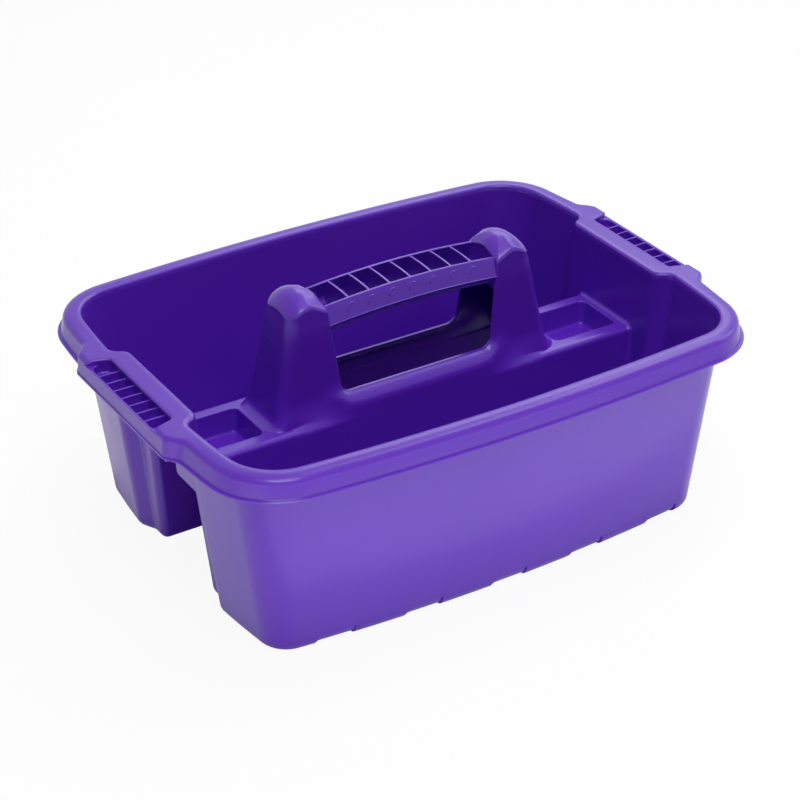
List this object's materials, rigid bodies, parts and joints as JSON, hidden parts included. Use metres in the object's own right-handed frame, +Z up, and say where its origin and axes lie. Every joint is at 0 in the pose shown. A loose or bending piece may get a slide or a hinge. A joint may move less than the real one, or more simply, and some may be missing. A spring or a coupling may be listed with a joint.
{
  "type": "grooming tray",
  "caption": "Moulded plastic carry tray with a deep bin each side of a hollow divider, an arched middle grip on posts, shelf wells and finger handles at both ends.",
  "frame": {"origin": "middle of the footprint, on the plane that the bins stand on", "axes": "+X along the grip and the long sides, +Y from the front bin to the rear bin, +Z up"},
  "size_m": [0.4018, 0.2994, 0.1775],
  "materials": {
    "tray_plastic": "satin, purple polypropylene"
  },
  "bodies": {
    "root": {"front_bin_floor": "tray_plastic", "front_bin_wall": "tray_plastic", "front_channel_wall": "tray_plastic", "front_left_rim_corner": "tray_plastic", "front_ridge_wall": "tray_plastic", "front_right_rim_corner": "tray_plastic", "front_rim": "tray_plastic", "grip_rib_1": "tray_plastic", "grip_rib_2": "tray_plastic", "grip_rib_3": "tray_plastic", "grip_rib_4": "tray_plastic", "grip_rib_5": "tray_plastic", "grip_rib_6": "tray_plastic", "grip_rib_7": "tray_plastic", "grip_trough": "tray_plastic", "left_end_apron": "tray_plastic", "left_handle_band": "tray_plastic", "left_handle_lip": "tray_plastic", "left_handle_pocket": "tray_plastic", "left_handle_rib_1": "tray_plastic", "left_handle_rib_2": "tray_plastic", "left_handle_rib_3": "tray_plastic", "left_handle_rib_4": "tray_plastic", "left_handle_rib_5": "tray_plastic", "left_handle_rib_6": "tray_plastic", "left_handle_rib_7": "tray_plastic", "left_post": "tray_plastic", "left_post_cap": "tray_plastic", "left_post_inner_wall": "tray_plastic", "left_shelf": "tray_plastic", "rear_bin_floor": "tray_plastic", "rear_bin_wall": "tray_plastic", "rear_channel_wall": "tray_plastic", "rear_left_rim_corner": "tray_plastic", "rear_ridge_wall": "tray_plastic", "rear_right_rim_corner": "tray_plastic", "rear_rim": "tray_plastic", "right_end_apron": "tray_plastic", "right_handle_band": "tray_plastic", "right_handle_lip": "tray_plastic", "right_handle_pocket": "tray_plastic", "right_handle_rib_1": "tray_plastic", "right_handle_rib_2": "tray_plastic", "right_handle_rib_3": "tray_plastic", "right_handle_rib_4": "tray_plastic", "right_handle_rib_5": "tray_plastic", "right_handle_rib_6": "tray_plastic", "right_handle_rib_7": "tray_plastic", "right_post": "tray_plastic", "right_post_cap": "tray_plastic", "right_post_inner_wall": "tray_plastic", "right_shelf": "tray_plastic"}
  },
  "joints": []
}
